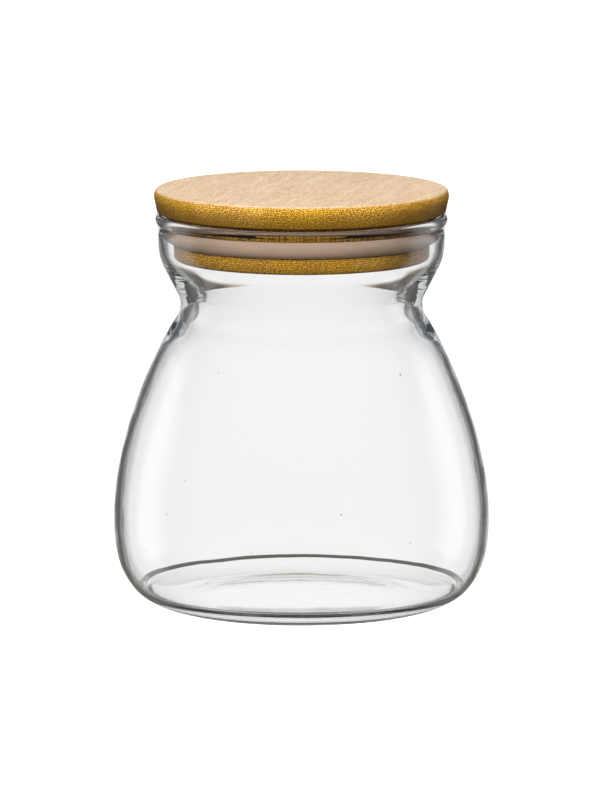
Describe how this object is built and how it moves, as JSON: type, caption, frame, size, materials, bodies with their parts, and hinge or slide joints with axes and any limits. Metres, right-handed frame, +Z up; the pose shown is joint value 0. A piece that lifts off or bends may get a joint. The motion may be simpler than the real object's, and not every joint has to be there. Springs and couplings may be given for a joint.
{
  "type": "lidded glass canister",
  "caption": "Round glass storage canister with a pinched neck, closed by a turned bamboo lid whose plug carries a silicone ring seal.",
  "frame": {"origin": "on the table, under the jar's axis", "axes": "+Z up along the jar's axis, -Y towards the viewer, the lid's grain runs nearly along Y"},
  "size_m": [0.1282, 0.1282, 0.1425],
  "materials": {
    "glass": "clear blown borosilicate, fire-polished lip",
    "silicone": "satin, milky translucent",
    "bamboo": "fine sanded, lightly oiled"
  },
  "bodies": {
    "jar": {"jar_body": "glass"},
    "seal": {"seal_ring": "silicone"},
    "lid": {"lid_disc_strip_1": "bamboo", "lid_disc_strip_2": "bamboo", "lid_disc_strip_3": "bamboo", "lid_disc_strip_4": "bamboo", "lid_plug_strip_1": "bamboo", "lid_plug_strip_2": "bamboo", "lid_plug_strip_3": "bamboo", "lid_plug_strip_4": "bamboo"}
  },
  "joints": [
    {"name": "lid_lift", "type": "slide", "parent": "jar", "child": "seal", "axis": [0, 0, 1], "range_m": [0, 0.06]},
    {"name": "lid_turn", "type": "hinge", "parent": "seal", "child": "lid", "pos_m": [0, 0, 0.127], "axis": [0, 0, 1], "continuous": true}
  ]
}
